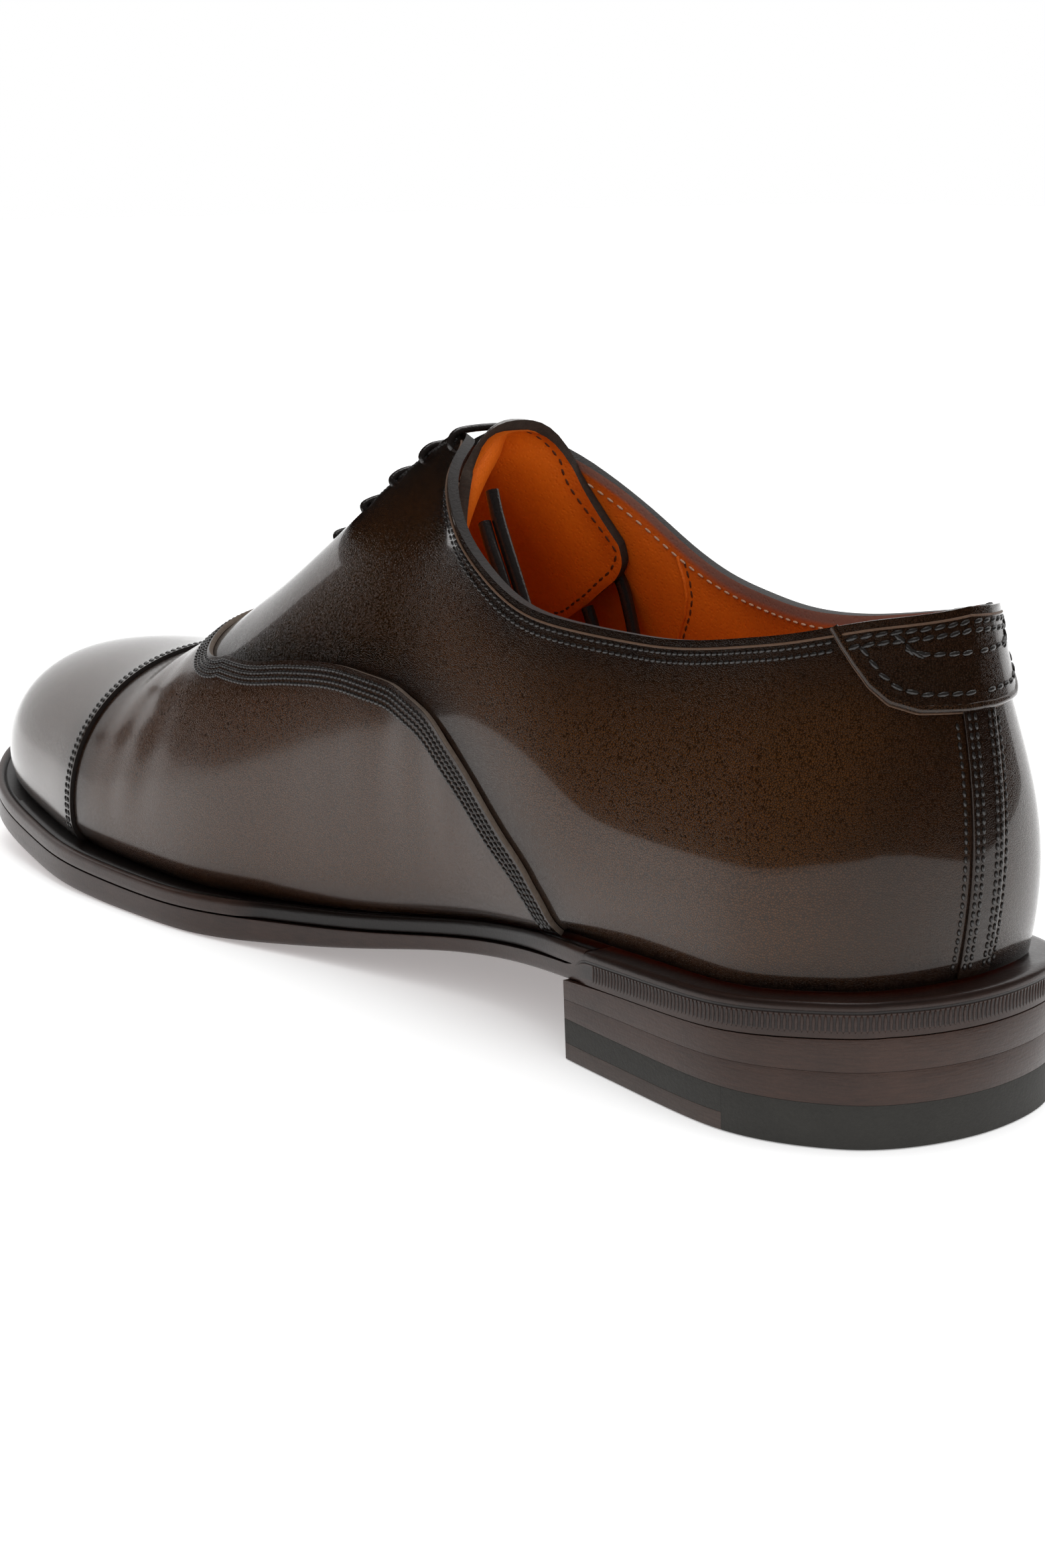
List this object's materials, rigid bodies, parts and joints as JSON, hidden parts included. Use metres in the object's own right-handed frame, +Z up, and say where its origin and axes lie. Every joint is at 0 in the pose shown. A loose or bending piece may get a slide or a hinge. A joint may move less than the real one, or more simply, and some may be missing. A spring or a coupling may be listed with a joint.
{
  "type": "cap toe oxford",
  "caption": "Dark brown leather dress shoe with a stitched cap toe, closed lacing, a welted leather sole and a stacked heel, standing empty on its sole.",
  "frame": {"origin": "middle of the shoe's outline seen from above, on the floor", "axes": "+Y towards the toe, +X towards the outer side of the foot, +Z up"},
  "size_m": [0.0965, 0.3016, 0.1097],
  "materials": {
    "upper_calf": "glossy burnished calf",
    "vamp_calf": "glossy burnished calf",
    "cap_calf": "mirror polished calf",
    "tab_calf": "glossy burnished calf",
    "tongue_leather": "smooth lining leather",
    "insole_leather": "smooth lining leather",
    "welt_leather": "waxed edge",
    "sole_leather": "waxed edge",
    "heel_leather": "waxed stacked leather",
    "heel_rubber": "satin",
    "waxed_cord": "waxed round cord"
  },
  "bodies": {
    "root": {"upper": "upper_calf", "vamp": "vamp_calf", "toe_cap": "cap_calf", "heel_tab": "tab_calf", "tongue": "tongue_leather", "insole": "insole_leather", "welt": "welt_leather", "outsole": "sole_leather", "heel_lift_upper": "heel_leather", "heel_lift_lower": "heel_leather", "heel_top_rubber": "heel_rubber", "heel_top_corner": "heel_leather", "lace": "waxed_cord", "lace_end_medial": "waxed_cord", "lace_end_lateral": "waxed_cord"}
  },
  "joints": []
}
